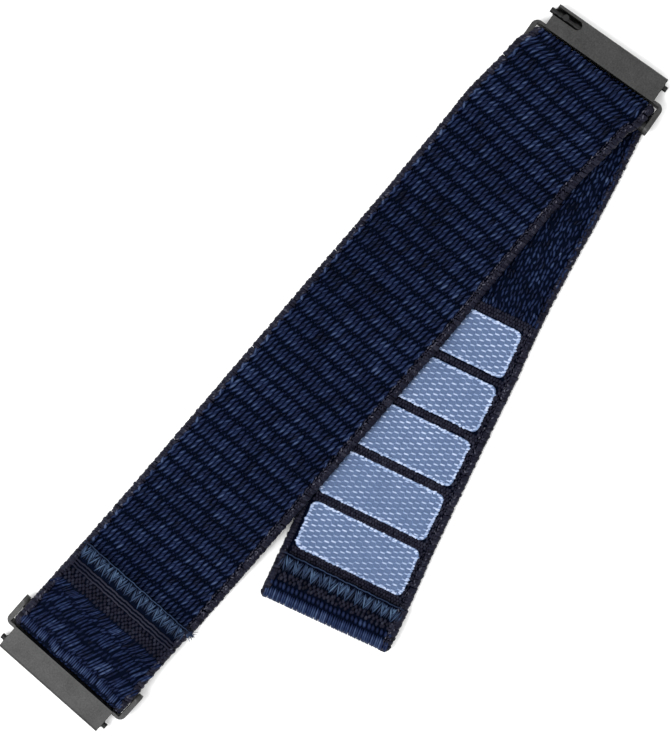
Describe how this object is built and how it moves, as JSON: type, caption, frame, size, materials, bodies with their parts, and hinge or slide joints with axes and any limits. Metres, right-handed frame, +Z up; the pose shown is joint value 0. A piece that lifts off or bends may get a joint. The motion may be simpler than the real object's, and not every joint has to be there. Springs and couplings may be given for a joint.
{
  "type": "fitness tracker band",
  "caption": "Woven nylon hook-and-loop wrist band with pivoting quick-release metal connectors, one end sewn and one folded back under the band.",
  "frame": {"origin": "centre of the band's box, on the surface that the band lies on", "axes": "+X along the band from the sewn connector A to the adjustable connector B, +Y away from the side the tail fans out to, +Z up"},
  "size_m": [0.1464, 0.052, 0.0057],
  "materials": {
    "connector_metal": "satin bead-blasted dark grey",
    "bar_steel": "satin steel",
    "spring_bar_steel": "bright turned steel",
    "lever_metal": "dark satin",
    "ribbed_webbing": "woven navy nylon with raised ribs",
    "loop_webbing": "woven navy nylon loop face",
    "tail_webbing": "smooth woven nylon, near black",
    "stitch_thread": "steel-blue polyester thread",
    "hook_patch": "moulded translucent nylon hooks"
  },
  "bodies": {
    "strap_anchor": {"anchor_loop": "loop_webbing", "anchor_flap": "loop_webbing", "anchor_stitching": "stitch_thread", "main_web_1": "ribbed_webbing"},
    "strap_2": {"main_web_2": "ribbed_webbing"},
    "strap_3": {"main_web_3": "ribbed_webbing"},
    "strap_4": {"main_web_4": "ribbed_webbing", "crossbar_b_wrap": "ribbed_webbing"},
    "connector_a": {"connector_a_frame": "connector_metal", "connector_a_crossbar": "bar_steel", "spring_bar_a_barrel": "spring_bar_steel", "spring_bar_a_fixed_tip": "spring_bar_steel", "spring_bar_a_spring": "spring_bar_steel"},
    "release_a": {"spring_bar_a_plunger": "spring_bar_steel", "release_lever_a": "lever_metal"},
    "connector_b": {"connector_b_frame": "connector_metal", "connector_b_crossbar": "bar_steel", "spring_bar_b_barrel": "spring_bar_steel", "spring_bar_b_fixed_tip": "spring_bar_steel", "spring_bar_b_spring": "spring_bar_steel"},
    "release_b": {"spring_bar_b_plunger": "spring_bar_steel", "release_lever_b": "lever_metal"},
    "tail": {"tail_web": "tail_webbing", "tail_tip_flap": "ribbed_webbing", "tail_stitching": "stitch_thread", "hook_patch_1": "hook_patch", "hook_patch_2": "hook_patch", "hook_patch_3": "hook_patch", "hook_patch_4": "hook_patch", "hook_patch_5": "hook_patch"}
  },
  "joints": [
    {"name": "connector_a_pivot", "type": "hinge", "parent": "strap_anchor", "child": "connector_a", "pos_m": [-0.06445, 0.01269, 0.00285], "axis": [0, 1, 0], "range_deg": [-80, 99]},
    {"name": "release_a_slide", "type": "slide", "parent": "connector_a", "child": "release_a", "axis": [0, -1, 0], "range_m": [0, 0.001], "stiffness_N_per_m": 500, "springref_m": -0.001, "deforming": ["spring_bar_a_spring"]},
    {"name": "band_flex_1", "type": "hinge", "parent": "strap_anchor", "child": "strap_2", "pos_m": [-0.02845, 0.01269, 0.00363], "axis": [0, -1, 0], "range_deg": [0, 40]},
    {"name": "band_flex_2", "type": "hinge", "parent": "strap_2", "child": "strap_3", "pos_m": [0.00155, 0.01269, 0.0038], "axis": [0, -1, 0], "range_deg": [0, 40]},
    {"name": "band_flex_3", "type": "hinge", "parent": "strap_3", "child": "strap_4", "pos_m": [0.03155, 0.01269, 0.0038], "axis": [0, -1, 0], "range_deg": [0, 40]},
    {"name": "connector_b_pivot", "type": "hinge", "parent": "strap_4", "child": "connector_b", "pos_m": [0.06325, 0.01269, 0.00285], "axis": [0.1132, -0.9936, 0], "range_deg": [-35, 99]},
    {"name": "release_b_slide", "type": "slide", "parent": "connector_b", "child": "release_b", "axis": [0.1132, -0.9936, 0], "range_m": [0, 0.001], "stiffness_N_per_m": 500, "springref_m": -0.001, "deforming": ["spring_bar_b_spring"]},
    {"name": "tail_fold", "type": "hinge", "parent": "strap_4", "child": "tail", "pos_m": [0.06325, 0.01269, 0.00285], "axis": [0.1132, -0.9936, 0], "range_deg": [0, 70], "deforming": ["crossbar_b_wrap"]}
  ]
}
